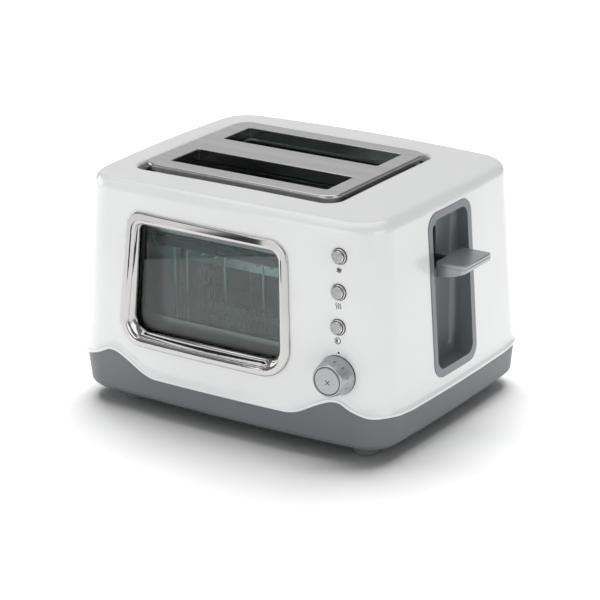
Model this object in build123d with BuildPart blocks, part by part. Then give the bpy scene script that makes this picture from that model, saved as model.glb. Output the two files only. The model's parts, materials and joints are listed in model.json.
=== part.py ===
from build123d import *
import math
import os

# A two-slice toaster with a viewing window, in millimetres.
# X runs along the slots, towards the end with the lever. Y runs from the window to the back.
# Z is up from the surface that the feet stand on. While the pieces are made, X and Y are
# counted from the middle of the housing; write_pieces() moves them all to the final origin.

# ---- Housing ---------------------------------------------------------------------------
FOOT_HEIGHT = 11.5
SHELL_HALF_X = 144.3        # half length at the height of the base's underside
SHELL_HALF_Y = 114.5
DRAFT_X = 0.0637            # how much narrower per millimetre of height, each end
DRAFT_Y = 0.035
CROWN_X = 3.3               # bulge of the end faces
CROWN_Y = 5.1               # bulge of the front and back
CORNER_R = 28.6
SHELL_TOP = 185.8
DOME_R = 5700.0             # radius of the slightly domed top
TOP_EDGE_R = 9.0
SHELL_WALL = 2.5
SHELL_LOW = 24.0            # the uncut shell starts here, below its waved edge
LIP_OUT = 1.6               # the bead along the waved edge
LIP_HEIGHT = 2.2
LIP_EDGE_R = 0.8

# Waved lower edge: low along the middle, a hump near each corner
WAVE_LOW = 32.0
WAVE_HUMP = 47.8
WAVE_CORNER = 38.2
WAVE_END = 36.2
WAVE_FLAT_X = 58.0
WAVE_HUMP_X = 103.0
WAVE_CORNER_X = 133.5
WAVE_CLIMB = ((80.3, 0.51), (90.0, 0.82))    # X, and the share of the rise from low to hump
WAVE_FALL = ((113.5, 0.62), (123.0, 0.22))   # X, and the share of the rise from corner to hump
WAVE_SPLIT_Y = 101.0        # where the long side's edge hands over to the end's edge
WAVE_FLAT_Y = 66.0

# The base is a tub inside the shell, with a skirt that comes out under the waved edge.
BASE_TOP = 50.0
TUB_INSET = 3.9             # from the shell's face, at the tub's top
TUB_DRAFT = 0.07
TUB_CORNER_R = 22.0
SKIRT_INSET = 0.5           # from the shell's face, at SKIRT_LEVEL
SKIRT_LEVEL = 37.0
SKIRT_DRAFT = 0.13
SKIRT_CORNER_R = 26.0
SKIRT_GAP = 0.5             # from the skirt's edge up to the shell's
BASE_EDGE_R = 5.0
BASE_WALL = 2.5
BASE_FLOOR = FOOT_HEIGHT + BASE_WALL
FOOT_R = 9.7
FOOT_SPIGOT_R = 3.1         # pressed through the base's floor
FOOT_X = (-100.0, 111.0)
FOOT_Y = (-82.0, 82.0)
SCREW_HEAD_Z = FOOT_HEIGHT + 11.5
SHELL_SCREWS = [(x, y) for x in (-118.0, 118.0) for y in (-62.0, 62.0)]

# ---- Slots, plate and chassis ----------------------------------------------------------
SLOT_X = (-83.5, 58.5)
SLOT_Y = 35.3               # distance of each slot's middle from the centre plane
SLOT_WIDE = 37.3
SLOT_R = 1.2
PLATE_TOP = 187.9
PLATE_SIZE = (173.8, 137.0)
PLATE_X = -13.55
PLATE_EDGE = 2.4            # height of its rolled edge
PLATE_STEP = 2.2            # how far the rim under the edge stands back
PLATE_RIM = 6.5             # how far down that rim reaches
PLATE_SHEET = 1.0
TOP_OPENING = (183.5, 148.0)
TOP_OPENING_X = -14.75
OPENING_R = 13.0            # its corners in plan
OPENING_EDGE_R = 2.6
COLLAR_WALL = 3.5           # stiffening collar under the opening's edge
COLLAR_LOW = 178.0
SHEET = 1.0
CHAMBER_X = (-86.0, 60.0)   # inner faces of the two end plates
CHAMBER_Y = (-90.0, 80.0)
CHASSIS_LOW = 26.0
CHASSIS_HIGH = 176.0
FLANGE = 10.0
LIFTER_LOW = 104.0
LIFTER_HIGH = 113.0

# ---- Window ----------------------------------------------------------------------------
BEZEL_CORNERS = [(-96.0, 55.6), (63.9, 55.6), (59.6, 162.0), (-84.8, 162.9)]
BEZEL_RADII = [20.0, 25.0, 16.0, 13.0]
LIP_CORNERS = [(-88.3, 61.2), (55.6, 61.8), (54.2, 156.0), (-80.3, 156.8)]
LIP_RADII = [14.0, 17.0, 9.0, 7.0]
GLASS_CORNERS = [(-84.0, 66.2), (51.0, 66.6), (49.6, 151.0), (-76.5, 151.6)]
GLASS_RADII = [11.0, 13.0, 6.0, 6.0]
BEZEL_PROUD = 1.8
BEZEL_LIP_R = 4.2
GLASS_FRONT = -103.9
GLASS_THICK = 3.0
INNER_OPENING = ((-80.0, 76.0), (54.0, 144.5))

# ---- Controls --------------------------------------------------------------------------
PANEL_X = 102.5
BUTTON_Z = (158.8, 131.8, 105.3)
BUTTON_NAMES = ("defrost_button", "reheat_button", "bagel_button")
DIAL_Z = 68.5
RING_R = 6.0
RING_NECK_R = 5.8           # its part inside the shell's hole
CAP_R = 4.75
DIAL_R = 15.0
DIAL_FACE_R = 12.4
DIAL_PROUD = 15.3
DIAL_NECK_R = 5.0
STEM_HOLE_R = 2.9           # for the cancel button's stem
CANCEL_R = 10.25

# ---- Lever, carriage and its recess ----------------------------------------------------
RECESS_Y = (-35.1, 27.3)
RECESS_Z = (46.8, 174.4)
RECESS_IN_Y = (-30.0, 21.5)
RECESS_IN_Z = (53.0, 169.0)
RECESS_BACK = 122.0
RECESS_R = 12.0
FIT_GAP = 0.15              # round a piece set into the shell
LEVER_SLOT_Y = (-10.5, -3.0)
LEVER_SLOT_Z = (55.0, 157.0)
STEM_Y = (-9.2, -4.3)
LEVER_TOP = 136.0
KNOB_Y = (-23.0, 18.2)
KNOB_X = (133.0, 158.4)
KNOB_SEAM = 2.4             # from the knob's top down to the groove round it
TRAVEL_DOWN = 65.0
ROD_X = 91.0
ROD_Y = 26.0
ROD_R = 2.5
RUNNING_GAP = 0.3
BRACKET_Z = 168.0
BUSH_TOP = 120.0

# ---- Heaters and guards ----------------------------------------------------------------
TUBE_R = 4.8
TUBE_Y = (-70.0, 0.0, 70.0)
TUBE_Z = {-70.0: (50.0, 131.0), 0.0: (50.0, 150.0), 70.0: (50.0, 131.0)}
CAP_BODY_R = 6.5
GUARD_OFFSET = 17.5         # guard plane from its slot's middle, with the lever up
GUARD_PIVOT_Z = 42.0
GUARD_TOP = 128.0
GUARD_WIRES = (-69.5, -34.0, 1.5, 37.0)
GUARD_NAMES = ("bread_guard_front_outer", "bread_guard_front_inner",
               "bread_guard_rear_inner", "bread_guard_rear_outer")

# ---- Base's fittings -------------------------------------------------------------------
TRAY_X = (-64.0, 39.0)
TRAY_Z = (BASE_FLOOR + 0.3, BASE_FLOOR + 6.3)
TRAY_BACK = 112.2
INLET_PLACE = (88.0, 22.0)
INLET_R = 6.0
BOARD_OUT = -17.5           # control board's front, from the front face
POWER_BOARD_Z = BASE_FLOOR + 4.5
BOARD_THICK = 1.6
SCREW_Y = (-70.0, 64.0)
CHASSIS_LEGS = [(x, y) for x in (-80.0, 58.0) for y in (-84.0, 75.0)]

pieces = {}


def keep(builder, name):
    """Labels a finished piece and keeps it for writing."""
    builder.part.label = name
    pieces[name] = builder.part


def add_box(low, high, mode=Mode.ADD):
    """Adds (or cuts) a box given by its two opposite corners."""
    size = [b - a for a, b in zip(low, high)]
    centre = [(a + b) / 2 for a, b in zip(low, high)]
    with Locations(tuple(centre)):
        Box(*size, mode=mode)


def add_cylinder(start, direction, radius, length, mode=Mode.ADD):
    """Adds (or cuts) a cylinder that starts at a point and runs along a direction."""
    with Locations(Plane(origin=start, z_dir=direction)):
        Cylinder(radius, length, align=(Align.CENTER, Align.CENTER, Align.MIN), mode=mode)


# ---- The housing's outer form ----------------------------------------------------------

def half_x(z):
    return SHELL_HALF_X - DRAFT_X * (z - FOOT_HEIGHT)


def half_y(z):
    return SHELL_HALF_Y - DRAFT_Y * (z - FOOT_HEIGHT)


def front_y(x, z):
    """The front face's Y at a place on it."""
    return -(half_y(z) - CROWN_Y * (x / (half_x(z) - CROWN_X)) ** 2)


def outline(z, inset, corner_r):
    """The housing's plan at height z: four bulging sides and round corners."""
    a = half_x(z) - inset
    b = half_y(z) - inset
    ax, by = a - CROWN_X, b - CROWN_Y
    with BuildSketch(Plane.XY.offset(z)) as plan:
        with BuildLine():
            ThreePointArc((ax, -by), (a, 0), (ax, by))
            ThreePointArc((ax, by), (0, b), (-ax, by))
            ThreePointArc((-ax, by), (-a, 0), (-ax, -by))
            ThreePointArc((-ax, -by), (0, -b), (ax, -by))
        make_face()
        fillet(plan.vertices(), corner_r)
    return plan.sketch


def drafted_form(low, high, inset_low, inset_high, corner_r):
    """A solid between two heights that follows the housing's sides."""
    bottom = outline(low, inset_low, corner_r)
    top = outline(high, inset_high, corner_r)
    with BuildPart() as form:
        loft(sections=[bottom, top], ruled=True)
    return form.part


def shell_form(inset, low, top, edge_r):
    """The housing's form with its domed top and rounded top edge, moved inward by inset."""
    blank = drafted_form(low, top + TOP_EDGE_R, inset, inset, CORNER_R - inset)
    with BuildPart() as form:
        add(blank)
        with Locations((0, 0, top - DOME_R)):
            Sphere(DOME_R, rotation=(90, 0, 0), mode=Mode.INTERSECT)
        fillet(form.faces().sort_by(Axis.Z)[-1].edges(), edge_r)
    return form.part


def below_wave(rise):
    """Everything under the shell's waved lower edge, with the edge raised by rise."""
    reach = SHELL_HALF_X + 20.0
    low, hump, corner, end = [z + rise for z in (WAVE_LOW, WAVE_HUMP, WAVE_CORNER, WAVE_END)]
    climb = [(x, low + share * (hump - low)) for x, share in WAVE_CLIMB]
    climb = [(WAVE_FLAT_X, low), *climb, (WAVE_HUMP_X, hump)]
    fall = [(x, corner + share * (hump - corner)) for x, share in WAVE_FALL]
    fall = [(WAVE_HUMP_X, hump), *fall, (WAVE_CORNER_X, corner)]
    with BuildPart() as under:
        with BuildSketch(Plane.XZ.offset(WAVE_SPLIT_Y)):
            with BuildLine():
                Line((-WAVE_FLAT_X, low), (WAVE_FLAT_X, low))
                for side in (1, -1):
                    Spline([(side * x, z) for x, z in climb], tangents=[(side, 0), (side, 0)])
                    Spline([(side * x, z) for x, z in fall], tangents=[(side, 0), (side, 0)])
                    Line((side * WAVE_CORNER_X, corner), (side * reach, corner))
                    Line((side * reach, corner), (side * reach, 0))
                Line((-reach, 0), (reach, 0))
            make_face()
        extrude(amount=60)
        mirror(about=Plane.XZ)
        with BuildSketch(Plane.YZ.offset(-reach)):
            with BuildLine():
                Line((-WAVE_FLAT_Y, end), (WAVE_FLAT_Y, end))
                for side in (1, -1):
                    Spline((side * WAVE_FLAT_Y, end), (side * WAVE_SPLIT_Y, corner),
                           tangents=[(side, 0), (side, 0)])
                    Line((side * WAVE_SPLIT_Y, corner), (side * WAVE_SPLIT_Y, 0))
                Line((-WAVE_SPLIT_Y, 0), (WAVE_SPLIT_Y, 0))
            make_face()
        extrude(amount=2 * reach)
    return under.part


def lip_block():
    """A rounded band just proud of the shell, following its waved edge."""
    blank = drafted_form(SHELL_LOW, BASE_TOP + LIP_HEIGHT + 5, -LIP_OUT, -LIP_OUT, CORNER_R + LIP_OUT)
    under = below_wave(LIP_HEIGHT)
    with BuildPart() as block:
        add(blank)
        add(under, mode=Mode.INTERSECT)
        upper = [f for f in block.faces() if f.normal_at().Z > 0.5]
        sides = [f for f in block.faces() if abs(f.normal_at().Z) < 0.3]
        side_edges = [e for f in sides for e in f.edges()]
        rim = [e for f in upper for e in f.edges() if e in side_edges]
        fillet(rim, LIP_EDGE_R)
    return block.part


# ---- Outlines cut through the faces ----------------------------------------------------

def long_prism(corners, radii, grow, y_low, y_high):
    """A prism along Y with a round-cornered outline given in X and Z."""
    with BuildPart() as prism:
        with BuildSketch(Plane.XZ.offset(-y_high)):
            with BuildLine():
                FilletPolyline(*corners, radius=radii, close=True)
            make_face()
            if grow:
                offset(amount=grow)
        extrude(amount=y_high - y_low)
    return prism.part


def end_prism(span_y, span_z, radius, x_low, x_high):
    """A prism along X with a round-cornered rectangle for its outline."""
    centre = ((span_y[0] + span_y[1]) / 2, (span_z[0] + span_z[1]) / 2)
    with BuildPart() as prism:
        with BuildSketch(Plane.YZ.offset(x_low)):
            with Locations(centre):
                RectangleRounded(span_y[1] - span_y[0], span_z[1] - span_z[0], radius)
        extrude(amount=x_high - x_low)
    return prism.part


def top_prism(centre_x, centre_y, size, radius, z_low, z_high):
    """A prism along Z with a round-cornered rectangle for its outline."""
    with BuildPart() as prism:
        with BuildSketch(Plane.XY.offset(z_low)):
            with Locations((centre_x, centre_y)):
                RectangleRounded(size[0], size[1], radius)
        extrude(amount=z_high - z_low)
    return prism.part


def panel_plane(z, out):
    """A plane square to the front face at the control column, out from the face."""
    turn = 2 * CROWN_Y * PANEL_X / (half_x(BUTTON_Z[1]) - CROWN_X) ** 2
    normal = Vector(turn, -1, DRAFT_Y).normalized()
    across = Vector(1, turn, 0).normalized()
    face = Vector(PANEL_X, front_y(PANEL_X, z), z)
    return Plane(origin=face + normal * out, x_dir=across, z_dir=normal)


def slot_prism(side, grow, z_low, z_high):
    """One bread slot's outline as a prism along Z."""
    size = (SLOT_X[1] - SLOT_X[0] + 2 * grow, SLOT_WIDE + 2 * grow)
    return top_prism(sum(SLOT_X) / 2, side * SLOT_Y, size, SLOT_R + grow, z_low, z_high)


# ---- Outer pieces ----------------------------------------------------------------------

def make_housing_shell():
    outer = shell_form(0, SHELL_LOW, SHELL_TOP, TOP_EDGE_R)
    inner = shell_form(SHELL_WALL, SHELL_LOW - 5, SHELL_TOP - SHELL_WALL, TOP_EDGE_R - SHELL_WALL)
    lip = lip_block()
    under = below_wave(0)
    collar_size = [v + 2 * COLLAR_WALL for v in TOP_OPENING]
    collar_top = SHELL_TOP - SHELL_WALL + 0.8
    collar = top_prism(TOP_OPENING_X, 0, collar_size, OPENING_R + 3, COLLAR_LOW, collar_top)
    opening = top_prism(TOP_OPENING_X, 0, TOP_OPENING, OPENING_R, COLLAR_LOW - 8, SHELL_TOP + 5)
    window = long_prism(LIP_CORNERS, LIP_RADII, 1.7, -130, -95)
    recess = end_prism([RECESS_Y[0] - FIT_GAP, RECESS_Y[1] + FIT_GAP],
                       [RECESS_Z[0] - FIT_GAP, RECESS_Z[1] + FIT_GAP], RECESS_R + FIT_GAP, 125, 150)
    with BuildPart() as housing_shell:
        add(outer)
        add(lip)
        add(inner, mode=Mode.SUBTRACT)
        add(collar)
        add(under, mode=Mode.SUBTRACT)
        add(opening, mode=Mode.SUBTRACT)
        dome = housing_shell.faces().filter_by(GeomType.SPHERE).sort_by(Axis.Z)[-1]
        fillet([e for w in dome.inner_wires() for e in w.edges()], OPENING_EDGE_R)
        add(window, mode=Mode.SUBTRACT)
        add(recess, mode=Mode.SUBTRACT)
        for z in BUTTON_Z:
            plane = panel_plane(z, -6)
            add_cylinder(plane.origin, plane.z_dir, RING_NECK_R + 0.1, 12, Mode.SUBTRACT)
        plane = panel_plane(DIAL_Z, -6)
        add_cylinder(plane.origin, plane.z_dir, DIAL_NECK_R + 0.4, 12, Mode.SUBTRACT)
    keep(housing_shell, "housing_shell")


def tub_inset(z):
    return TUB_INSET + TUB_DRAFT * (BASE_TOP - z)


def skirt_inset(z):
    return SKIRT_INSET + SKIRT_DRAFT * (SKIRT_LEVEL - z)


def make_base_shell():
    high = WAVE_HUMP + 2
    tub_out = drafted_form(FOOT_HEIGHT, BASE_TOP, tub_inset(FOOT_HEIGHT), TUB_INSET, TUB_CORNER_R)
    tub_in = drafted_form(BASE_FLOOR, BASE_TOP + 2, tub_inset(BASE_FLOOR) + BASE_WALL,
                          TUB_INSET + BASE_WALL, TUB_CORNER_R - BASE_WALL)
    skirt_out = drafted_form(FOOT_HEIGHT, high, skirt_inset(FOOT_HEIGHT), skirt_inset(high), SKIRT_CORNER_R)
    skirt_in = drafted_form(BASE_FLOOR, high, skirt_inset(BASE_FLOOR) + BASE_WALL,
                            skirt_inset(high) + BASE_WALL, SKIRT_CORNER_R - BASE_WALL)
    under_out = below_wave(-SKIRT_GAP)
    under_in = below_wave(-SKIRT_GAP - BASE_WALL)
    with BuildPart() as hollow:
        add(skirt_in)
        add(under_in, mode=Mode.INTERSECT)
    with BuildPart() as base_shell:
        add(skirt_out)
        fillet(base_shell.faces().sort_by(Axis.Z)[0].edges(), BASE_EDGE_R)
        add(under_out, mode=Mode.INTERSECT)
        add(tub_out)
        add(hollow.part, mode=Mode.SUBTRACT)
        add(tub_in, mode=Mode.SUBTRACT)
        for x, y in SHELL_SCREWS:
            add_cylinder((x, y, BASE_FLOOR - 1), (0, 0, 1), 5.5, 24)
        for x, y in SHELL_SCREWS:
            add_cylinder((x, y, 0), (0, 0, 1), 4.6, SCREW_HEAD_Z + 3.5, Mode.SUBTRACT)
            add_cylinder((x, y, 0), (0, 0, 1), 2.1, 60, Mode.SUBTRACT)
        for x in FOOT_X:
            for y in FOOT_Y:
                add_cylinder((x, y, 0), (0, 0, 1), FOOT_SPIGOT_R + 0.1, 20, Mode.SUBTRACT)
        add_box((TRAY_X[0] - 1, 90, TRAY_Z[0] - 0.3), (TRAY_X[1] + 1, 120, TRAY_Z[1] + 1), Mode.SUBTRACT)
        with Locations((88, 0, FOOT_HEIGHT)):
            with GridLocations(0, 9, 1, 9):
                Box(26, 3.2, 12, mode=Mode.SUBTRACT)
        inlet = inlet_centre()
        add_cylinder((inlet[0], inlet[1] - 12, inlet[2]), (0, 1, 0), INLET_R, 16, Mode.SUBTRACT)
    keep(base_shell, "base_shell")


def inlet_centre():
    """Where the cord's inlet meets the outside of the base's rear wall."""
    x, z = INLET_PLACE
    drop = CROWN_Y * (x / (half_x(z) - CROWN_X)) ** 2
    return (x, half_y(z) - skirt_inset(z) - drop, z)


def make_cord_inlet():
    x, y, z = inlet_centre()
    with BuildPart() as cord_inlet:
        add_cylinder((x, y - 9, z), (0, 1, 0), INLET_R - 0.1, 10)
        add_cylinder((x, y + 0.6, z), (0, 1, 0), INLET_R + 2, 1.6)
        add_cylinder((x, y - 9, z), (0, 1, 0), INLET_R + 1.6, 5)
        add_cylinder((x, y - 20, z), (0, 1, 0), 3.6, 40, Mode.SUBTRACT)
        fillet(cord_inlet.faces().sort_by(Axis.Y)[-1].edges(), 0.7)
    keep(cord_inlet, "cord_inlet")


def make_feet():
    names = ("foot_front_left", "foot_rear_left", "foot_front_right", "foot_rear_right")
    places = [(x, y) for x in FOOT_X for y in FOOT_Y]
    for name, (x, y) in zip(names, places):
        with BuildPart() as foot:
            with BuildSketch(Plane.XY):
                with Locations((x, y)):
                    Circle(FOOT_R)
            extrude(amount=FOOT_HEIGHT)
            fillet(foot.faces().sort_by(Axis.Z)[0].edges(), 1.5)
            add_cylinder((x, y, FOOT_HEIGHT - 1), (0, 0, 1), FOOT_SPIGOT_R, 6)
        keep(foot, name)


def make_base_screws():
    with BuildPart() as base_screws:
        for x, y in SHELL_SCREWS:
            add_cylinder((x, y, SCREW_HEAD_Z), (0, 0, 1), 4.0, 3.5)
            add_cylinder((x, y, SCREW_HEAD_Z + 1.5), (0, 0, 1), 2.0, 30)
            add_cylinder((x, y, SCREW_HEAD_Z - 0.5), (0, 0, 1), 1.6, 2.0, Mode.SUBTRACT)
    keep(base_screws, "base_screws")


def make_window_bezel():
    proud = shell_form(-BEZEL_PROUD, SHELL_LOW, SHELL_TOP, TOP_EDGE_R)
    face = shell_form(0, SHELL_LOW, SHELL_TOP, TOP_EDGE_R)
    flange = long_prism(BEZEL_CORNERS, BEZEL_RADII, 0, -130, -95)
    neck = long_prism(LIP_CORNERS, LIP_RADII, 1.5, -130, GLASS_FRONT)
    mouth = outline_face(LIP_CORNERS, LIP_RADII, -117.5)
    throat = outline_face(GLASS_CORNERS, GLASS_RADII, GLASS_FRONT + 0.5)
    with BuildPart() as funnel:
        loft(sections=[mouth, throat], ruled=True)
    with BuildPart() as window_bezel:
        add(flange)
        add(face, mode=Mode.SUBTRACT)
        add(neck)
        add(proud, mode=Mode.INTERSECT)
        front_face = window_bezel.faces().sort_by(SortBy.AREA)[-1]
        fillet(front_face.outer_wire().edges(), 1.2)
        add(funnel.part, mode=Mode.SUBTRACT)
        mouth_face = window_bezel.faces().sort_by(SortBy.AREA)[-1]
        fillet([e for w in mouth_face.inner_wires() for e in w.edges()], BEZEL_LIP_R)
    keep(window_bezel, "window_bezel")


def outline_face(corners, radii, y):
    """A round-cornered outline as a face standing at one Y."""
    with BuildSketch(Plane.XZ.offset(-y)) as sketch:
        with BuildLine():
            FilletPolyline(*corners, radius=radii, close=True)
        make_face()
    return sketch.sketch


def make_window_glass():
    pane = long_prism(GLASS_CORNERS, GLASS_RADII, 3, GLASS_FRONT, GLASS_FRONT + GLASS_THICK)
    with BuildPart() as outer_window_glass:
        add(pane)
    keep(outer_window_glass, "outer_window_glass")
    back = GLASS_FRONT + GLASS_THICK
    ring = long_prism(GLASS_CORNERS, GLASS_RADII, 9, back, back + 1.5)
    hole = long_prism(GLASS_CORNERS, GLASS_RADII, 0.5, back - 1, back + 3)
    with BuildPart() as glass_retainer:
        add(ring)
        add(hole, mode=Mode.SUBTRACT)
    keep(glass_retainer, "glass_retainer")
    (x0, z0), (x1, z1) = INNER_OPENING
    with BuildPart() as inner_window_glass:
        add_box((x0 - 4, CHAMBER_Y[0] + 0.1, z0 - 4), (x1 + 4, CHAMBER_Y[0] + 2.6, z1 + 4))
    keep(inner_window_glass, "inner_window_glass")


def make_top_plate():
    low = PLATE_TOP - PLATE_EDGE
    outer = top_prism(PLATE_X, 0, PLATE_SIZE, 12, low, PLATE_TOP)
    rim_size = [v - 2 * PLATE_STEP for v in PLATE_SIZE]
    rim = top_prism(PLATE_X, 0, rim_size, 12 - PLATE_STEP, PLATE_TOP - PLATE_RIM, PLATE_TOP - 1)
    inner = top_prism(PLATE_X, 0, [v - 2 * PLATE_SHEET for v in rim_size], 11 - PLATE_STEP,
                      PLATE_TOP - PLATE_RIM - 1, PLATE_TOP - PLATE_SHEET)
    with BuildPart() as top_plate:
        add(outer)
        fillet(top_plate.faces().sort_by(Axis.Z)[-1].edges(), 1.6)
        add(rim)
        add(inner, mode=Mode.SUBTRACT)
        for side in (-1, 1):
            add(slot_prism(side, 1.0, 179, PLATE_TOP))
        for side in (-1, 1):
            add(slot_prism(side, 0, 170, 200), mode=Mode.SUBTRACT)
        mouth = [e for e in top_plate.faces().sort_by(Axis.Z)[-1].edges()
                 if abs(abs(e.center().Y) - SLOT_Y) < SLOT_WIDE / 2 + 0.1
                 and SLOT_X[0] - 0.1 < e.center().X < SLOT_X[1] + 0.1]
        fillet(mouth, 0.8)
    keep(top_plate, "top_plate")


# ---- Chassis ---------------------------------------------------------------------------

def end_plate_holes():
    """Slots for the lifters and round holes for heater caps and guard pins, as one cutter."""
    reach = 400
    with BuildPart() as cutter:
        for side in (-1, 1):
            add_box((-reach, side * SLOT_Y - 3, LIFTER_LOW - TRAVEL_DOWN - 2),
                    (reach, side * SLOT_Y + 3, LIFTER_HIGH + 20))
            for offset_y in (-GUARD_OFFSET, GUARD_OFFSET):
                add_cylinder((-reach, side * SLOT_Y + offset_y, GUARD_PIVOT_Z), (1, 0, 0), 1.3, 2 * reach)
        for y in TUBE_Y:
            for z in TUBE_Z[y]:
                add_cylinder((-reach, y, z), (1, 0, 0), CAP_BODY_R + 0.1, 2 * reach)
    return cutter.part


def make_end_plates():
    holes = end_plate_holes()
    for name, side, x in (("left_end_plate", -1, CHAMBER_X[0]), ("right_end_plate", 1, CHAMBER_X[1])):
        out = x + side * SHEET
        far = x + side * FLANGE
        with BuildPart() as plate:
            add_box((min(x, out), CHAMBER_Y[0], CHASSIS_LOW + 1), (max(x, out), CHAMBER_Y[1], CHASSIS_HIGH))
            add(holes, mode=Mode.SUBTRACT)
            for z in (CHASSIS_LOW + 1, CHASSIS_HIGH - SHEET):
                add_box((min(x, far), -84, z), (max(x, far), 74, z + SHEET))
            for y in SCREW_Y:
                add_cylinder((x + side * 5.5, y, 0), (0, 0, 1), 1.6, 300, Mode.SUBTRACT)
        keep(plate, name)


def make_chassis_frames():
    x0, x1 = CHAMBER_X[0] - FLANGE - 2, CHAMBER_X[1] + FLANGE + 2
    with BuildPart() as chassis_top_frame:
        add_box((x0, CHAMBER_Y[0] + 2, CHASSIS_HIGH), (x1, CHAMBER_Y[1], CHASSIS_HIGH + SHEET))
        for side in (-1, 1):
            add_box((SLOT_X[0] - 2, side * 68 - 0.6, CHASSIS_HIGH), (SLOT_X[1] + 2, side * 68 + 0.6, 181))
        for x in (x0 + 0.6, x1 - 0.6):
            add_box((x - 0.6, -27, CHASSIS_HIGH), (x + 0.6, 27, 181))
        for side in (-1, 1):
            add(slot_prism(side, 1.3, 170, 200), mode=Mode.SUBTRACT)
        for x, y in chassis_screw_places():
            add_cylinder((x, y, 0), (0, 0, 1), 1.6, 300, Mode.SUBTRACT)
    keep(chassis_top_frame, "chassis_top_frame")
    with BuildPart() as chassis_floor_frame:
        add_box((x0, CHAMBER_Y[0], CHASSIS_LOW), (98, CHAMBER_Y[1], CHASSIS_LOW + SHEET))
        add_box((98, 6, CHASSIS_LOW), (114, 28, CHASSIS_LOW + SHEET))
        for side in (-1, 1):
            add_box((-80, side * SLOT_Y - 14, 20), (54, side * SLOT_Y + 14, 30), Mode.SUBTRACT)
        add_box((74, -80, 20), (88, -34, 30), Mode.SUBTRACT)
        add_box((74, 38, 20), (88, 76, 30), Mode.SUBTRACT)
        for x, y in chassis_screw_places():
            add_cylinder((x, y, 0), (0, 0, 1), 1.6, 300, Mode.SUBTRACT)
        for x, y in CHASSIS_LEGS:
            add_cylinder((x, y, BASE_FLOOR), (0, 0, 1), 4, CHASSIS_LOW - BASE_FLOOR)
    keep(chassis_floor_frame, "chassis_floor_frame")
    (ox0, oz0), (ox1, oz1) = INNER_OPENING
    with BuildPart() as chassis_front_frame:
        add_box((-98, CHAMBER_Y[0] - SHEET, CHASSIS_LOW + 1), (70, CHAMBER_Y[0], CHASSIS_HIGH))
        add_box((ox0, -100, oz0), (ox1, -80, oz1), Mode.SUBTRACT)
        fillet(chassis_front_frame.edges().filter_by(Axis.Y).group_by(SortBy.LENGTH)[0]
               .filter_by_position(Axis.X, ox0 - 1, ox1 + 1), 3)
    keep(chassis_front_frame, "chassis_front_frame")


def chassis_screw_places():
    return [(x, y) for x in (CHAMBER_X[0] - 5.5, CHAMBER_X[1] + 5.5) for y in SCREW_Y]


def make_chassis_screws():
    with BuildPart() as chassis_screws:
        for x, y in chassis_screw_places():
            add_cylinder((x, y, CHASSIS_HIGH + SHEET), (0, 0, 1), 2.9, 1.8)
            add_cylinder((x, y, CHASSIS_HIGH - 6), (0, 0, 1), 1.5, 8)
            add_cylinder((x, y, CHASSIS_LOW - 1.8), (0, 0, 1), 2.9, 1.8)
            add_cylinder((x, y, CHASSIS_LOW - 1), (0, 0, 1), 1.5, 7)
    keep(chassis_screws, "chassis_screws")


def reflector_sheet(name, centre_z, first_angle):
    """A curved sheet over or under a front heater tube."""
    x0, x1 = CHAMBER_X
    centre_y = TUBE_Y[0] - 2.0
    with BuildPart() as sheet:
        with BuildSketch(Plane.YZ.offset(x0 + 0.5)):
            with BuildLine():
                CenterArc((centre_y, centre_z), 15, first_angle, 120)
                CenterArc((centre_y, centre_z), 15.8, first_angle, 120)
                for angle in (first_angle, first_angle + 120):
                    PolarLine((centre_y + 15 * math.cos(math.radians(angle)),
                               centre_z + 15 * math.sin(math.radians(angle))), 0.8, angle)
            make_face()
        extrude(amount=x1 - x0 - 1)
    keep(sheet, name)


def make_reflectors():
    low, high = TUBE_Z[TUBE_Y[0]]
    reflector_sheet("front_upper_reflector", high, 30)
    reflector_sheet("front_lower_reflector", low, 210)
    x0, x1 = CHAMBER_X
    with BuildPart() as rear_reflector:
        add_box((x0 - 8, CHAMBER_Y[1], CHASSIS_LOW + 1), (x1 + 8, CHAMBER_Y[1] + SHEET, CHASSIS_HIGH))
    keep(rear_reflector, "rear_reflector")
    with BuildPart() as centre_reflector:
        add_box((x0 + 0.3, -0.4, 58), (x1 - 0.3, 0.4, 142))
        for z in (70, 130):
            add_box((x0 + 0.3, -1.4, z), (x1 - 0.3, 1.4, z + 1.2))
    keep(centre_reflector, "centre_reflector")


def make_heaters():
    x0, x1 = CHAMBER_X
    for name, y in zip(("front_quartz_tubes", "centre_quartz_tubes", "rear_quartz_tubes"), TUBE_Y):
        with BuildPart() as tubes:
            for z in TUBE_Z[y]:
                add_cylinder((x0 - 2, y, z), (1, 0, 0), TUBE_R, x1 - x0 + 4)
                add_cylinder((x0 - 3, y, z), (1, 0, 0), TUBE_R - 1, x1 - x0 + 6, Mode.SUBTRACT)
        keep(tubes, name)
    with BuildPart() as heater_filaments:
        for y in TUBE_Y:
            for z in TUBE_Z[y]:
                add_cylinder((x0 - 2, y, z), (1, 0, 0), 2.2, x1 - x0 + 4)
    keep(heater_filaments, "heater_filaments")
    with BuildPart() as heater_end_caps:
        for y in TUBE_Y:
            for z in TUBE_Z[y]:
                for x, side in ((x0, -1), (x1, 1)):
                    add_cylinder((x - side * 3, y, z), (side, 0, 0), CAP_BODY_R, 11)
                    add_cylinder((x - side * 4, y, z), (side, 0, 0), TUBE_R + 0.05, 6.05, Mode.SUBTRACT)
    keep(heater_end_caps, "heater_end_caps")


# ---- Controls and electronics ----------------------------------------------------------

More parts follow.
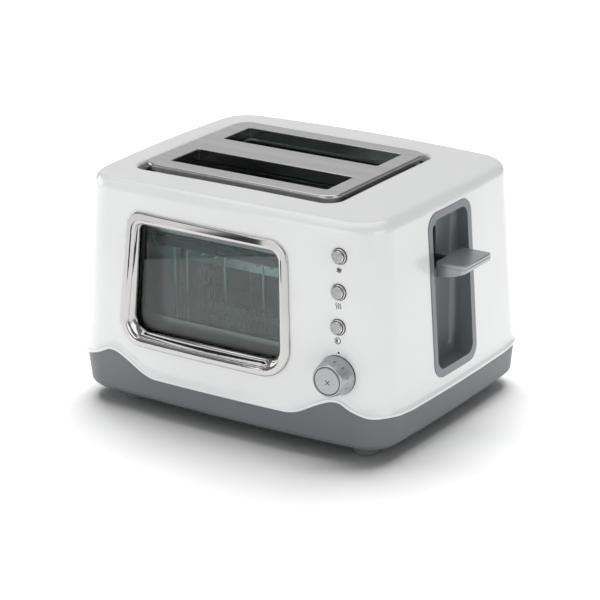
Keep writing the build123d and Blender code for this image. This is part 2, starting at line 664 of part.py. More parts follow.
def make_buttons():
    with BuildPart() as button_rings:
        for z in BUTTON_Z:
            axis = panel_plane(z, 0).z_dir
            add_cylinder(panel_plane(z, 0.25).origin, axis, RING_R, 1.6)
            add_cylinder(panel_plane(z, -3).origin, axis, RING_NECK_R, 4)
        rims = [f for f in button_rings.faces() if f.center().Y < front_y(PANEL_X, f.center().Z) - 1.6]
        fillet([e for f in rims for e in f.edges()], 0.6)
        for z in BUTTON_Z:
            add_cylinder(panel_plane(z, -6).origin, panel_plane(z, 0).z_dir, CAP_R + 0.3, 12, Mode.SUBTRACT)
    keep(button_rings, "button_rings")
    for name, z in zip(BUTTON_NAMES, BUTTON_Z):
        axis = panel_plane(z, 0).z_dir
        with BuildPart() as button:
            add_cylinder(panel_plane(z, -1).origin, axis, CAP_R, 4.2)
            fillet(button.faces().sort_by(Axis.Y)[0].edges(), 0.8)
            add_cylinder(panel_plane(z, -11.5).origin, axis, 2, 11)
        keep(button, name)


def make_dial():
    with BuildPart() as browning_dial:
        with BuildSketch(panel_profile()):
            with BuildLine():
                Polyline((STEM_HOLE_R, -9), (DIAL_NECK_R, -9), (DIAL_NECK_R, 0.5), (DIAL_R - 0.4, 0.5),
                         (DIAL_R, 1.0), (DIAL_FACE_R, DIAL_PROUD - 0.9), (DIAL_FACE_R - 0.6, DIAL_PROUD),
                         (CANCEL_R + 0.35, DIAL_PROUD), (CANCEL_R + 0.35, 9.8), (STEM_HOLE_R, 9.8),
                         (STEM_HOLE_R, -9))
            make_face()
        revolve(axis=dial_axis())
    keep(browning_dial, "browning_dial")
    with BuildPart() as cancel_button:
        with BuildSketch(panel_profile()):
            with BuildLine():
                Polyline((0, -11.5), (2.5, -11.5), (2.5, 12.2), (CANCEL_R, 12.2),
                         (CANCEL_R, DIAL_PROUD - 0.1), (CANCEL_R - 0.7, DIAL_PROUD + 0.4),
                         (0, DIAL_PROUD + 0.7), (0, -11.5))
            make_face()
        revolve(axis=dial_axis())
    keep(cancel_button, "cancel_button")


def panel_profile():
    """A plane through the dial's axis: its x is the radius and its y the height out of the face."""
    face = panel_plane(DIAL_Z, 0)
    return Plane(origin=face.origin, x_dir=face.x_dir, z_dir=face.x_dir.cross(face.z_dir))


def dial_axis():
    face = panel_plane(DIAL_Z, 0)
    return Axis(face.origin, face.z_dir)


def make_panel_electronics():
    middle = panel_plane((BUTTON_Z[0] + DIAL_Z) / 2, BOARD_OUT - 0.2)
    with BuildPart() as control_board:
        with BuildSketch(middle):
            Rectangle(32, BUTTON_Z[0] - DIAL_Z + 34)
        extrude(amount=-1.6)
    keep(control_board, "control_board")
    with BuildPart() as panel_switches:
        for z in (*BUTTON_Z, DIAL_Z):
            with BuildSketch(panel_plane(z, BOARD_OUT)):
                RectangleRounded(7, 7, 0.6)
            extrude(amount=2.6)
            add_cylinder(panel_plane(z, BOARD_OUT + 2).origin, panel_plane(z, 0).z_dir, 1.7, 1.7)
    keep(panel_switches, "panel_switches")
    with BuildPart() as browning_potentiometer:
        face = panel_plane(DIAL_Z, -SHELL_WALL - 6.5)
        add_cylinder(face.origin, face.z_dir, 12, 6)
        for offset_x in (-9, 9):
            with BuildSketch(panel_plane(DIAL_Z, -SHELL_WALL - 6.5)):
                with Locations((offset_x, 0)):
                    Rectangle(1.2, 3)
            extrude(amount=-(-BOARD_OUT - SHELL_WALL - 6.5))
        add_cylinder(face.origin - face.z_dir * 5, face.z_dir, 5.3, 20, Mode.SUBTRACT)
    keep(browning_potentiometer, "browning_potentiometer")


def make_power_electronics():
    board_top = POWER_BOARD_Z + BOARD_THICK
    with BuildPart() as power_board:
        add_box((68, 30, POWER_BOARD_Z), (111, 72, board_top))
        for x in (72, 106):
            for y in (34, 68):
                add_cylinder((x, y, BASE_FLOOR), (0, 0, 1), 3, POWER_BOARD_Z - BASE_FLOOR)
        add_box((72, 54, board_top), (90, 68, board_top + 4.4))
        add_cylinder((102, 60, board_top), (0, 0, 1), 3.6, 8)
    keep(power_board, "power_board")
    with BuildPart() as mains_contacts:
        add_box((98.5, 29.5, board_top), (110, 39, 26))
        for x in (100.5, 106.5):
            add_box((x, 32, 26), (x + 1.5, 37, 33))
    keep(mains_contacts, "mains_contacts")
    with BuildPart() as terminal_block:
        add_box((98, 90, BASE_FLOOR), (114, 98, 25))
        for x in (101, 106, 111):
            add_cylinder((x, 94, 20), (0, 0, 1), 1.6, 10, Mode.SUBTRACT)
    keep(terminal_block, "terminal_block")


# ---- Lever, recess and carriage --------------------------------------------------------

def make_lever_recess():
    skin_out = shell_form(-0.6, SHELL_LOW, SHELL_TOP, TOP_EDGE_R)
    skin_in = shell_form(3.2, SHELL_LOW, SHELL_TOP, TOP_EDGE_R)
    tub_skin = shell_form(1.0, SHELL_LOW, SHELL_TOP, TOP_EDGE_R)
    mouth = end_prism(RECESS_Y, RECESS_Z, 12, 120, 150)
    wall_y = (RECESS_IN_Y[0] - 1.8, RECESS_IN_Y[1] + 1.8)
    wall_z = (RECESS_IN_Z[0] - 1.8, RECESS_IN_Z[1] + 1.8)
    tub = end_prism(wall_y, wall_z, 10, RECESS_BACK - 2, 150)
    cavity = end_prism(RECESS_IN_Y, RECESS_IN_Z, 8.2, RECESS_BACK, 160)
    with BuildPart() as hollow:
        add(cavity)
        fillet(hollow.faces().sort_by(Axis.X)[0].edges(), 6)
    with BuildPart() as pocket:
        add(tub)
        add(tub_skin, mode=Mode.INTERSECT)
    with BuildPart() as lever_recess:
        add(mouth)
        add(skin_out, mode=Mode.INTERSECT)
        add(skin_in, mode=Mode.SUBTRACT)
        add(pocket.part)
        add(hollow.part, mode=Mode.SUBTRACT)
        add_box((110, LEVER_SLOT_Y[0], LEVER_SLOT_Z[0]), (130, LEVER_SLOT_Y[1], LEVER_SLOT_Z[1]),
                Mode.SUBTRACT)
    keep(lever_recess, "lever_recess")


def make_lever():
    knob_size = (KNOB_X[1] - KNOB_X[0], KNOB_Y[1] - KNOB_Y[0])
    with BuildPart() as groove:
        with BuildSketch(Plane.XY.offset(LEVER_TOP - KNOB_SEAM - 0.6)):
            with Locations((sum(KNOB_X) / 2, sum(KNOB_Y) / 2)):
                Rectangle(knob_size[0] + 4, knob_size[1] + 4)
                RectangleRounded(knob_size[0] - 1.0, knob_size[1] - 1.0, 2.5, mode=Mode.SUBTRACT)
        extrude(amount=0.6)
    with BuildPart() as lever_knob:
        with BuildSketch(Plane.XZ.offset(-KNOB_Y[1])):
            with BuildLine():
                x0, x1 = KNOB_X
                tip = Line((x1, LEVER_TOP - 5.5), (x1, LEVER_TOP))
                top = Line(tip @ 1, (x0, LEVER_TOP))
                root = Line(top @ 1, (x0, LEVER_TOP - 11.6))
                Spline(root @ 1, (x0 + 9, LEVER_TOP - 10.6), tip @ 0, tangents=[(1, 0), (1, 0.45)])
            make_face()
        extrude(amount=KNOB_Y[1] - KNOB_Y[0])
        fillet(lever_knob.edges().filter_by(Axis.Z), 3)
        fillet(lever_knob.faces().sort_by(Axis.Z)[-1].edges(), 1.2)
        add(groove.part, mode=Mode.SUBTRACT)
    keep(lever_knob, "lever_knob")
    with BuildPart() as lever_stem:
        with BuildSketch(Plane.XZ.offset(-STEM_Y[1])):
            with BuildLine():
                Polyline((98, 112.5), (106, 112.5), (112, LEVER_TOP - 11), (KNOB_X[0], LEVER_TOP - 11),
                         (KNOB_X[0], LEVER_TOP - 0.6), (104, LEVER_TOP - 0.6), (98, 128), (98, 112.5))
            make_face()
        extrude(amount=STEM_Y[1] - STEM_Y[0])
    keep(lever_stem, "lever_stem")


def make_carriage():
    slide_z = BUSH_TOP - 11.5
    with BuildPart() as carriage_slider:
        add_box((84, -40, slide_z), (106, 40, slide_z + 4))
        add_box((106, 8, slide_z), (112, 28, slide_z + 4))
        for side in (-1, 1):
            add_cylinder((ROD_X, side * ROD_Y, BUSH_TOP - 18), (0, 0, 1), 5.5, 18)
        for side in (-1, 1):
            add_cylinder((ROD_X, side * ROD_Y, 80), (0, 0, 1), ROD_R + RUNNING_GAP, 60, Mode.SUBTRACT)
    keep(carriage_slider, "carriage_slider")
    for name, side in (("bread_lifter_front", -1), ("bread_lifter_rear", 1)):
        y = side * SLOT_Y
        with BuildPart() as lifter:
            add_box((-94, y - 0.8, LIFTER_LOW), (84, y + 0.8, LIFTER_HIGH))
            for step in range(11):
                x = -78 + 13 * step
                add_box((x, y - 8, LIFTER_HIGH - 1.6), (x + 2, y + 8, LIFTER_HIGH))
        keep(lifter, name)
    with BuildPart() as armature_plate:
        add_box((97, 11, slide_z - 2), (111, 25, slide_z))
    keep(armature_plate, "armature_plate")
    with BuildPart() as contact_pusher:
        add_box((100, 31, slide_z - 10), (108, 38, slide_z))
    keep(contact_pusher, "contact_pusher")


def make_carriage_guides():
    with BuildPart() as guide_rods:
        for side in (-1, 1):
            add_cylinder((ROD_X, side * ROD_Y, CHASSIS_LOW + SHEET), (0, 0, 1), ROD_R,
                         BRACKET_Z - CHASSIS_LOW - SHEET)
    keep(guide_rods, "guide_rods")
    with BuildPart() as carriage_bracket:
        add_box((CHAMBER_X[1] + SHEET, -36, BRACKET_Z), (100, 36, BRACKET_Z + 1.5))
        add_box((CHAMBER_X[1] + SHEET, -36, BRACKET_Z - 10), (CHAMBER_X[1] + 2.5, 36, BRACKET_Z))
    keep(carriage_bracket, "carriage_bracket")
    with BuildPart() as carriage_springs:
        for side in (-1, 1):
            with BuildLine(Plane.XY):
                coil = Helix(pitch=(BRACKET_Z - BUSH_TOP - 1.2) / 12, radius=4.2,
                             height=BRACKET_Z - BUSH_TOP - 1.2, center=(ROD_X, side * ROD_Y, BUSH_TOP + 0.6))
            with BuildSketch(Plane(origin=coil @ 0, z_dir=coil % 0)):
                Circle(0.5)
            sweep(path=coil, is_frenet=True)
    keep(carriage_springs, "carriage_springs")


def make_magnet():
    low = CHASSIS_LOW + SHEET
    with BuildPart() as electromagnet_core:
        add_box((97, 11, low), (111, 25, low + 1.5))
        add_box((97, 11, low), (98.5, 25, low + 14))
        add_box((109.5, 11, low), (111, 25, low + 14))
        add_cylinder((104, 18, low), (0, 0, 1), 2.5, 14)
    keep(electromagnet_core, "electromagnet_core")
    with BuildPart() as electromagnet_coil:
        add_cylinder((104, 18, low + 1.6), (0, 0, 1), 5, 10.5)
        add_cylinder((104, 18, 0), (0, 0, 1), 2.6, 60, Mode.SUBTRACT)
    keep(electromagnet_coil, "electromagnet_coil")


def make_bread_guards():
    """Four wire guards, each turning on a bar along its foot."""
    planes = [side * SLOT_Y + way * GUARD_OFFSET for side, way in ((-1, -1), (-1, 1), (1, -1), (1, 1))]
    for name, y in zip(GUARD_NAMES, planes):
        with BuildPart() as guard:
            add_cylinder((-89, y, GUARD_PIVOT_Z), (1, 0, 0), 1.0, 152)
            add_box((-82, y - 0.4, GUARD_PIVOT_Z), (56, y + 0.4, GUARD_PIVOT_Z + 15))
            add_cylinder((-82, y, GUARD_TOP), (1, 0, 0), 1.0, 138)
            for x in (-81.0, *GUARD_WIRES, 55.0):
                add_cylinder((x, y, GUARD_PIVOT_Z + 12), (0, 0, 1), 0.8, GUARD_TOP - GUARD_PIVOT_Z - 12)
            for step in range(13):
                x = -76 + 10 * step
                add_box((x, y - 2, GUARD_PIVOT_Z + 4), (x + 6, y + 2, GUARD_PIVOT_Z + 11), Mode.SUBTRACT)
        keep(guard, name)


def make_crumb_tray():
    (x0, x1), (z0, z1) = TRAY_X, TRAY_Z
    with BuildPart() as crumb_tray:
        add_box((x0, -70, z0), (x1, TRAY_BACK, z1))
        add_box((x0 + 1.2, -68.8, z0 + 1.2), (x1 - 1.2, TRAY_BACK - 1.2, z1 + 1), Mode.SUBTRACT)
    keep(crumb_tray, "crumb_tray")
    with BuildPart() as crumb_tray_handle:
        add_box((x0 - 5, TRAY_BACK, z0 + 0.4), (x1 + 5, TRAY_BACK + 2.5, z1 + 4))
        fillet(crumb_tray_handle.edges().filter_by(Axis.Y), 2)
        add_box((-34, TRAY_BACK + 2.4, z1 - 1), (10, TRAY_BACK + 6, z1 + 1.4))
        fillet(crumb_tray_handle.faces().sort_by(Axis.Y)[-1].edges(), 0.8)
    keep(crumb_tray_handle, "crumb_tray_handle")


def write_pieces():
    """Moves the origin to the middle of the whole toaster's box and writes every piece."""
    boxes = [piece.bounding_box() for piece in pieces.values()]
    middle_x = (min(b.min.X for b in boxes) + max(b.max.X for b in boxes)) / 2
    middle_y = (min(b.min.Y for b in boxes) + max(b.max.Y for b in boxes)) / 2
    os.makedirs("parts", exist_ok=True)
    for name, piece in pieces.items():
        piece.move(Location((-middle_x, -middle_y, 0)))
        export_step(piece, f"parts/{name}.step")
    print("origin moved by", round(-middle_x, 4), round(-middle_y, 4))
    for z in (*BUTTON_Z, DIAL_Z):
        face = panel_plane(z, 0)
        print("panel axis at", z, face.origin, face.z_dir)


make_housing_shell()
make_base_shell()
make_cord_inlet()
make_feet()
make_base_screws()
make_window_bezel()
make_window_glass()
make_top_plate()
make_end_plates()
make_chassis_frames()
make_chassis_screws()
make_reflectors()
make_heaters()
make_buttons()
make_dial()
make_panel_electronics()
make_power_electronics()
make_lever_recess()
make_lever()
make_carriage()
make_carriage_guides()
make_magnet()
make_bread_guards()
make_crumb_tray()
write_pieces()
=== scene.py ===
import json
import math
import bpy
import bmesh
from mathutils import Matrix, Vector
from mathutils.bvhtree import BVHTree


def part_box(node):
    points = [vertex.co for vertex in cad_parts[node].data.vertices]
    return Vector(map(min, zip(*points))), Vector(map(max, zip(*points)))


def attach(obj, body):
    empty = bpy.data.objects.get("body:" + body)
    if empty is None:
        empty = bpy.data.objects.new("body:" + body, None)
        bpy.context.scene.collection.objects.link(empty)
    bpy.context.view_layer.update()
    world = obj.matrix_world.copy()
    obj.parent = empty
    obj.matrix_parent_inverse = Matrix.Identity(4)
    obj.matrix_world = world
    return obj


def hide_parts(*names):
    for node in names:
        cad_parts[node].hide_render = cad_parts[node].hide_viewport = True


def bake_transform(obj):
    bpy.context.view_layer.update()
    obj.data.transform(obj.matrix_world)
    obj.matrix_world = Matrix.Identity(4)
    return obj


# A white two-slice toaster with a chrome-framed window. Everything is in metres, in the frame
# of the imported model: X towards the lever, Y from the window to the back, Z up.

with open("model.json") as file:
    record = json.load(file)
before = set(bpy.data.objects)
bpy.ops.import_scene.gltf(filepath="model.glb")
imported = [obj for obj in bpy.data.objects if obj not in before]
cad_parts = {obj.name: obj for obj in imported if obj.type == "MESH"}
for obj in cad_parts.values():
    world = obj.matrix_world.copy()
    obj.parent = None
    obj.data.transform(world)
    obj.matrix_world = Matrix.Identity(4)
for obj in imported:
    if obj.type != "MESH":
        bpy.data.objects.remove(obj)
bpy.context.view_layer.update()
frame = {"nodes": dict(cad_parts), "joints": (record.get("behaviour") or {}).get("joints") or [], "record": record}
scene = bpy.context.scene
nodes = frame["nodes"]
MM = 0.001


# ---- Camera -----------------------------------------------------------------------------
# The view is set from the middle of the housing's footprint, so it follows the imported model.
AZIMUTH, ELEVATION, ROLL = 33.37, 19.88, -0.46     # degrees
DISTANCE = 1.9428
LENS = 149.6
SENSOR_WIDTH = 36
AIM = Vector((0.0026, -0.0062, 0.0758))            # from the housing's middle


def housing_middle():
    """The middle of the shell's footprint."""
    low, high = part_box("housing_shell")
    return Vector(((low[0] + high[0]) / 2, (low[1] + high[1]) / 2, 0))


def add_camera():
    """A long lens from the front right, a little above the object."""
    a, e = math.radians(AZIMUTH), math.radians(ELEVATION)
    back = Vector((math.sin(a) * math.cos(e), -math.cos(a) * math.cos(e), math.sin(e)))
    data = bpy.data.cameras.new("camera")
    data.lens = LENS
    data.sensor_width = SENSOR_WIDTH
    camera = bpy.data.objects.new("camera", data)
    scene.collection.objects.link(camera)
    camera.rotation_mode = "QUATERNION"
    camera.rotation_quaternion = ((-back).to_track_quat("-Z", "Y")
                                  @ Matrix.Rotation(math.radians(ROLL), 3, "Z").to_quaternion())
    camera.location = housing_middle() + AIM + back * DISTANCE
    data.clip_start, data.clip_end = 0.01, 100
    scene.camera = camera


add_camera()


# ---- Materials --------------------------------------------------------------------------

def new_material(name, base, roughness, metallic=0.0, **extra):
    """A Principled material with constant values on the shader's own sockets."""
    material = bpy.data.materials.new(name)
    material.use_nodes = True
    shader = material.node_tree.nodes["Principled BSDF"]
    shader.inputs["Base Color"].default_value = (*base, 1)
    shader.inputs["Roughness"].default_value = roughness
    shader.inputs["Metallic"].default_value = metallic
    for socket, value in extra.items():
        shader.inputs[socket.replace("_", " ")].default_value = value
    return material


def node(material, kind, **values):
    """Adds a shader node, setting its properties and its named inputs."""
    made = material.node_tree.nodes.new(kind)
    for name, value in values.items():
        if hasattr(made, name):
            setattr(made, name, value)
        else:
            made.inputs[name.replace("_", " ")].default_value = value
    return made


def link(material, source, output, target, socket):
    material.node_tree.links.new(source.outputs[output], target.inputs[socket])


def noise(material, scale, detail=3.0, stretch=(1, 1, 1)):
    """A noise texture in object coordinates, stretched along each axis."""
    place = node(material, "ShaderNodeTexCoord")
    mapping = node(material, "ShaderNodeMapping")
    mapping.inputs["Scale"].default_value = stretch
    texture = node(material, "ShaderNodeTexNoise", Scale=scale, Detail=detail)
    link(material, place, "Object", mapping, "Vector")
    link(material, mapping, "Vector", texture, "Vector")
    return texture


def vary_colour(material, texture, dark, light):
    """Moves the base colour between two tones with a texture."""
    ramp = node(material, "ShaderNodeValToRGB")
    for element, position, colour in zip(ramp.color_ramp.elements, (0.35, 0.65), (dark, light)):
        element.position = position
        element.color = (*colour, 1)
    link(material, texture, "Fac", ramp, "Fac")
    link(material, ramp, "Color", material.node_tree.nodes["Principled BSDF"], "Base Color")


def vary_roughness(material, texture, smooth, rough):
    """Moves the roughness between two values with a texture."""
    spread = node(material, "ShaderNodeMapRange")
    spread.inputs["To Min"].default_value = smooth
    spread.inputs["To Max"].default_value = rough
    link(material, texture, "Fac", spread, "Value")
    link(material, spread, "Result", material.node_tree.nodes["Principled BSDF"], "Roughness")


def add_bump(material, texture, strength, distance):
    """Raises the surface by a texture, over a distance in metres."""
    bump = node(material, "ShaderNodeBump", Strength=strength, Distance=distance)
    link(material, texture, "Fac", bump, "Height")
    link(material, bump, "Normal", material.node_tree.nodes["Principled BSDF"], "Normal")


def tone(colour, factor):
    """A colour made darker or lighter."""
    return tuple(min(1.0, c * factor) for c in colour)


def plastic(name, base, roughness, grain, depth, coat=0.0):
    """Moulded plastic: a faint cloud in its colour and a fine skin texture."""
    material = new_material(name, base, roughness, Coat_Weight=coat, Coat_Roughness=0.08)
    cloud = noise(material, 18, detail=2)
    vary_colour(material, cloud, tone(base, 0.985), tone(base, 1.012))
    skin = noise(material, grain, detail=2)
    vary_roughness(material, skin, roughness * 0.9, roughness * 1.12)
    add_bump(material, skin, 0.1, depth)
    return material


def metal(name, base, roughness, scale=60, stretch=(1, 1, 1), depth=0.00001):
    """Metal whose colour, roughness and skin follow one grain."""
    material = new_material(name, base, roughness, metallic=1.0)
    grain = noise(material, scale, detail=4, stretch=stretch)
    vary_colour(material, grain, tone(base, 0.93), tone(base, 1.04))
    vary_roughness(material, grain, roughness * 0.75, roughness * 1.25)
    add_bump(material, grain, 0.2, depth)
    return material


def lacquer(name, base, roughness):
    """Silver lacquer: metal flake in a satin paint."""
    material = metal(name, base, roughness, scale=2500)
    material.node_tree.nodes["Principled BSDF"].inputs["Metallic"].default_value = 0.6
    return material


def glass(name, base, roughness, clearness):
    """Glass with faint streaks of haze."""
    material = new_material(name, base, roughness, Transmission_Weight=clearness, IOR=1.45)
    haze = noise(material, 30, detail=3, stretch=(1, 1, 0.3))
    vary_roughness(material, haze, roughness * 0.7, roughness * 1.5)
    return material


MATERIALS = {
    "white_shell": plastic("white_gloss_plastic", (0.84, 0.845, 0.85), 0.24, 900, 0.00002, coat=0.6),
    "grey_base": plastic("grey_satin_plastic", (0.160, 0.170, 0.179), 0.42, 1600, 0.00004),
    "chrome_trim": metal("mirror_chrome", (0.55, 0.54, 0.535), 0.06, scale=25, depth=0.000004),
    "chrome_buttons": metal("spun_metal", (0.66, 0.66, 0.67), 0.22, scale=200),
    "steel_plate": metal("polished_steel", (0.54, 0.535, 0.535), 0.2, scale=90, stretch=(0.02, 1, 1)),
    "sheet_steel": metal("rolled_sheet", (0.36, 0.38, 0.38), 0.34, scale=120, stretch=(0.05, 1, 1)),
    "reflector": metal("bright_reflector", (0.31, 0.335, 0.335), 0.24, scale=40),
    "window_glass": glass("window_glass", (0.66, 0.74, 0.725), 0.02, 1.0),
    "quartz": glass("milky_quartz", (0.9, 0.92, 0.92), 0.25, 0.85),
    "heating_wire": metal("heating_wire", (0.25, 0.22, 0.2), 0.5),
    "ceramic": plastic("white_ceramic", (0.68, 0.66, 0.61), 0.6, 1200, 0.00005),
    "silver_plastic": lacquer("silver_lacquer", (0.44, 0.445, 0.455), 0.32),
    "black_plastic": plastic("black_plastic", (0.018, 0.018, 0.019), 0.4, 1400, 0.00004),
    "rubber": plastic("grey_rubber", (0.15, 0.155, 0.16), 0.7, 1500, 0.00006),
    "steel_wire": metal("bright_wire", (0.85, 0.85, 0.84), 0.3, scale=300),
    "machined_steel": metal("zinc_plate", (0.52, 0.52, 0.51), 0.3, scale=200),
    "spring_steel": metal("spring_wire", (0.40, 0.40, 0.40), 0.3, scale=300),
    "copper": metal("copper_winding", (0.62, 0.27, 0.12), 0.35, scale=300, stretch=(1, 1, 8)),
    "brass": metal("contact_brass", (0.68, 0.50, 0.22), 0.3, scale=200),
    "circuit_board": plastic("board_laminate", (0.04, 0.15, 0.07), 0.45, 600, 0.00003),
}


# The lever's recess is glossier and bluer than the base, though they share a slot. Its lighter tone is painted
# light, which lifts the shade inside the recess.
PAINTED_LIGHT_FINISH = {
    "lever_recess": plastic("grey_gloss_plastic_painted_light", (0.172, 0.192, 0.206), 0.3, 1600, 0.00002, coat=0.3),
}


def dress_nodes():
    """Gives each carried-over CAD node the material of its slot, or, for the lever's recess, a glossier copy whose
    lighter tone is painted light.
    """
    for part in frame["record"]["subparts"]:
        mesh = nodes[part["node"]].data
        mesh.materials.clear()
        mesh.materials.append(PAINTED_LIGHT_FINISH.get(part["node"]) or MATERIALS[part["material_slot"]])


dress_nodes()


# ---- Pieces added to the CAD: what they share -------------------------------------------

# Dark ink for the prints, and also for the thin rings of painted shade round the controls.
INK_AND_SHADE = plastic("dark_ink_and_painted_shade", (0.03, 0.031, 0.033), 0.5, 2000, 0.00001)
MIDDLE = housing_middle()
SAME_POINT = 0.000001       # points closer than this are one
AXIS_RADIUS = 0.0002        # stands for zero in turned shapes, whose points there are then welded


def at(x, y, z):
    """A point in the model's frame, from millimetres measured from the housing's middle."""
    return MIDDLE + Vector((x, y, z)) * MM


def weld(mesh, thickness=0):
    """Joins points that coincide. Given a thickness, it makes flat faces a closed film."""
    made = bmesh.new()
    made.from_mesh(mesh)
    bmesh.ops.remove_doubles(made, verts=made.verts, dist=SAME_POINT)
    if thickness:
        bmesh.ops.solidify(made, geom=made.faces[:], thickness=thickness)
    made.to_mesh(mesh)
    made.free()


def piece(name, points, faces, slot, body="root", material=None, film=0):
    """A smooth mesh piece that rides a body and takes its finish from a record slot.
    A flat print is given a film's thickness. A piece with no body is left to its caller, which attaches it if it
    rides one."""
    mesh = bpy.data.meshes.new(name)
    mesh.from_pydata(points, [], faces)
    if film:
        weld(mesh, film)
    mesh.polygons.foreach_set("use_smooth", [True] * len(mesh.polygons))
    mesh.materials.append(material or MATERIALS[slot])
    made = bpy.data.objects.new(name, mesh)
    scene.collection.objects.link(made)
    if body:
        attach(made, body)
    return made


def surface_of(name):
    """A CAD node's surface, for casting rays at."""
    mesh = nodes[name].data
    return BVHTree.FromPolygons([v.co for v in mesh.vertices], [f.vertices[:] for f in mesh.polygons])


def angles(count):
    """Evenly spaced angles round a circle, in radians."""
    return [2 * math.pi * i / count for i in range(count)]


def ring_faces(rings, size, closed=True, loop=False):
    """Quads between rings of points that follow each other in one list. Closed joins the last
    ring to the first, and loop joins each ring's last point to its first."""
    faces = []
    for i in range(rings if closed else rings - 1):
        for j in range(size if loop else size - 1):
            a, b, k = i * size, (i + 1) % rings * size, (j + 1) % size
            faces.append((a + j, b + j, b + k, a + k))
    return faces


def turned(profile, origin, axis, sides=16):
    """A turned shape: the profile lists radius and distance along the axis, in millimetres."""
    axis = Vector(axis).normalized()
    side = axis.orthogonal().normalized()
    other = axis.cross(side)
    points = []
    for angle in angles(sides):
        across = side * math.cos(angle) + other * math.sin(angle)
        points += [origin + (across * radius + axis * along) * MM for radius, along in profile]
    return points, ring_faces(sides, len(profile))


def placed(shape, place):
    """A flat shape in space: place(x, y) says where each of its points goes."""
    return [place(x, y) for x, y, _ in shape[0]], shape[1]


def join(shapes):
    """The points and faces of several shapes as one list of each."""
    points, faces = [], []
    for shape_points, shape_faces in shapes:
        faces += [tuple(len(points) + i for i in face) for face in shape_faces]
        points += shape_points
    return points, faces


# ---- The shell's edge -------------------------------------------------------------------
# The flare's section, in millimetres: height over the shell's lower edge, and how far it stands
# proud of the bare wall. It starts under the wall's surface, swells to a lip and closes inside.
FLARE = (
    (10.5, -0.16), (9.0, -0.05), (7.5, 0.08), (6.0, 0.26), (4.8, 0.48), (3.8, 0.74), (3.0, 1.02),
    (2.3, 1.34), (1.7, 1.56), (1.2, 1.63), (0.7, 1.63), (0.3, 1.5), (0.05, 1.2), (-0.03, 0.6),
    (0.1, -0.8), (10.5, -0.8),
)
FLARE_STEPS = 900
WALL_RISE = 7.5             # where the bare wall is felt for, clear of the shell's own bead
END_SLOPE, SIDE_SLOPE = 0.0637, 0.035       # how far the walls run out for each unit they drop
EDGE_RANGE = (0.028, 0.06)  # the wave's lowest and highest place, with room to spare
EDGE_ERROR = 0.00002
OUTSIDE = 0.3               # where level rays start, clear of the housing
REACH = 0.2                 # how far they look, which is short of the far wall


def edge_height(shell, start, inward):
    """The height, over the floor, at which level rays begin to meet the shell."""
    low, high = EDGE_RANGE
    while high - low > EDGE_ERROR:
        z = (low + high) / 2
        met = shell.ray_cast(start + Vector((0, 0, z)), inward, REACH)[0]
        low, high = (low, z) if met else (z, high)
    return high


def add_shell_flare():
    """The shell's waved edge turns out a little, all the way round."""
    shell = surface_of("housing_shell")
    walls, heights = [], []
    for turn in angles(FLARE_STEPS):
        out = Vector((math.cos(turn), math.sin(turn), 0))
        start = MIDDLE + out * OUTSIDE
        height = edge_height(shell, start, -out)
        wall = shell.ray_cast(start + Vector((0, 0, height + WALL_RISE * MM)), -out, REACH)[0]
        heights.append(height)
        walls.append(wall)
    points = []
    for i in range(FLARE_STEPS):
        run = walls[(i + 1) % FLARE_STEPS] - walls[i - 1]
        out = Vector((run.y, -run.x, 0)).normalized()
        slope = END_SLOPE * out.x ** 2 + SIDE_SLOPE * out.y ** 2
        for rise, proud in FLARE:
            place = walls[i] + out * (proud + slope * (WALL_RISE - rise)) * MM
            points.append((place.x, place.y, heights[i] + rise * MM))
    piece("shell_edge_flare", points, ring_faces(FLARE_STEPS, len(FLARE), loop=True), "white_shell")


add_shell_flare()


# ---- Window frame -----------------------------------------------------------------------

LINING_STEPS = 480
LINING_START = 1.3          # how far behind the flange's face the lining leaves the rounded lip
LINING_EDGE = Vector((2.3, -3.5, 1.6))    # its inner edge, from the funnel's edge at the glass
LINING_SPANS = 8            # spans across the bevel
LINING_BULGE = 0.45 * 0.7   # how far the bevel swells, both inwards and towards the front
FLANGE_OUT = 7.5            # from the funnel's edge to a place on the flange's flat face
EDGE_THICK = 0.35
BEFORE_GLASS = 0.5          # where the funnel's edge is felt for, in front of the glass
BEFORE_BEZEL = 20           # a place in front of the bezel, for rays to start from


def add_window_lining():
    """A polished lining that turns the bezel's deep mouth into a bevel towards the glass."""
    bezel = surface_of("window_bezel")
    low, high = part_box("window_bezel")
    glass_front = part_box("outer_window_glass")[0].y
    middle = (low + high) / 2
    points = []
    for turn in angles(LINING_STEPS):
        out = Vector((math.cos(turn), 0, math.sin(turn)))
        back = bezel.ray_cast(Vector((middle.x, glass_front - BEFORE_GLASS * MM, middle.z)), out)[0]
        flange = back + out * FLANGE_OUT * MM
        ahead = Vector((flange.x, low.y - BEFORE_BEZEL * MM, flange.z))
        face = bezel.ray_cast(ahead, Vector((0, 1, 0)))[0].y
        start = bezel.ray_cast(Vector((middle.x, face + LINING_START * MM, middle.z)), out)[0]
        edge = back + LINING_EDGE * MM
        for step in range(LINING_SPANS + 1):
            share = step / LINING_SPANS
            bulge = LINING_BULGE * MM * math.sin(math.pi * share)
            points.append(start.lerp(edge, share) - out * bulge - Vector((0, bulge, 0)))
        # The hidden side runs back to the start a little inside the bezel's own wall.
        points.append(edge + Vector((0, EDGE_THICK * MM, 0)) + out * 0.1 * MM)
        points.append(edge.lerp(back, 0.5) + out * 0.3 * MM)
        points.append(back + out * 0.1 * MM)
        points.append(back.lerp(start, 0.5) + out * 0.4 * MM)
    faces = ring_faces(LINING_STEPS, len(points) // LINING_STEPS, loop=True)
    piece("window_lining", points, faces, "chrome_trim")


add_window_lining()


